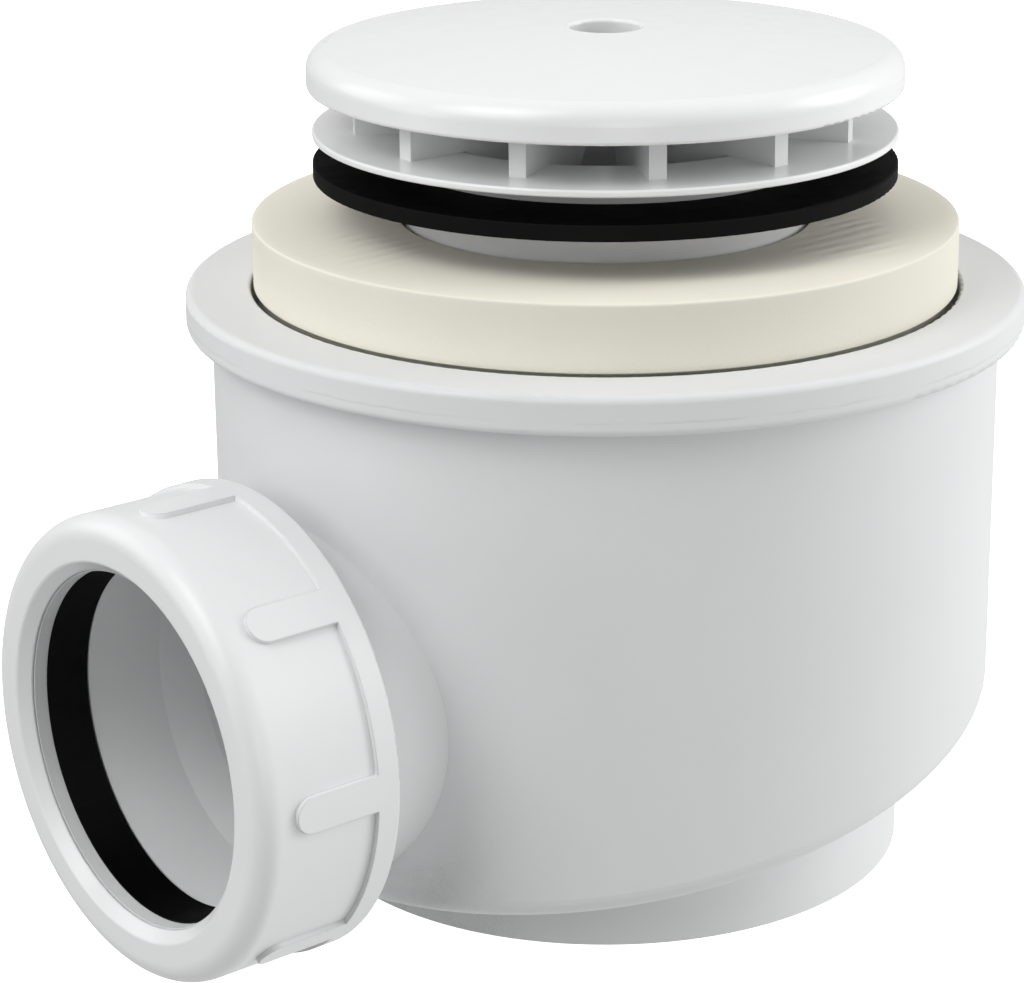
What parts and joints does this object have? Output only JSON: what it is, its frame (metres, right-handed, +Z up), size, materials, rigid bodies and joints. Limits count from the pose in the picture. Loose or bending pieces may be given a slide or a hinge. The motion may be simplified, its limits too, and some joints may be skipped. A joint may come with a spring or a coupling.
{
  "type": "shower trap",
  "caption": "White plastic shower trap: round body with a low side outlet and compression nut, foam and rubber tray seals, screw-down waste and a domed ribbed cover.",
  "frame": {"origin": "centre of the base ring, on the ground", "axes": "+Z up along the body's axis, the outlet points along -X"},
  "size_m": [0.1208, 0.1, 0.1006],
  "materials": {
    "white_moulding": "satin moulded polypropylene",
    "white_gloss": "glossy moulded plastic",
    "grey_plastic": "matte",
    "cream_foam": "fine closed-cell foam",
    "black_rubber": "matte rubber"
  },
  "bodies": {
    "trap": {"trap_body": "white_moulding", "seal_cup": "white_moulding", "outlet_neck": "white_moulding", "top_deck": "white_moulding", "foam_seal": "cream_foam"},
    "tray_gasket": {"waste_gasket": "black_rubber"},
    "screw_waste": {"waste": "white_gloss", "cover": "white_gloss", "dip_tube": "white_moulding", "dip_tube_o_ring": "black_rubber"},
    "outlet_packing": {"slip_washer": "grey_plastic", "pipe_seal": "black_rubber"},
    "outlet_nut": {"union_nut": "white_gloss"}
  },
  "joints": [
    {"name": "waste_lift", "type": "slide", "parent": "trap", "child": "tray_gasket", "axis": [0, 0, 1], "range_m": [-0.0046, 0.0175]},
    {"name": "waste_turn", "type": "hinge", "parent": "tray_gasket", "child": "screw_waste", "pos_m": [0, 0, 0.07], "axis": [0, 0, 1], "range_deg": [-700, 2700]},
    {"name": "packing_slide", "type": "slide", "parent": "trap", "child": "outlet_packing", "axis": [-1, 0, 0], "range_m": [0, 0.0106]},
    {"name": "nut_turn", "type": "hinge", "parent": "outlet_packing", "child": "outlet_nut", "pos_m": [-0.06, 0, 0.02834], "axis": [-1, 0, 0], "range_deg": [0, 1080]}
  ],
  "couplings": [
    {"joint": "waste_lift", "follows": "waste_turn", "m_per_rad": 0.00036749},
    {"joint": "packing_slide", "follows": "nut_turn", "m_per_rad": 0.00055704}
  ]
}
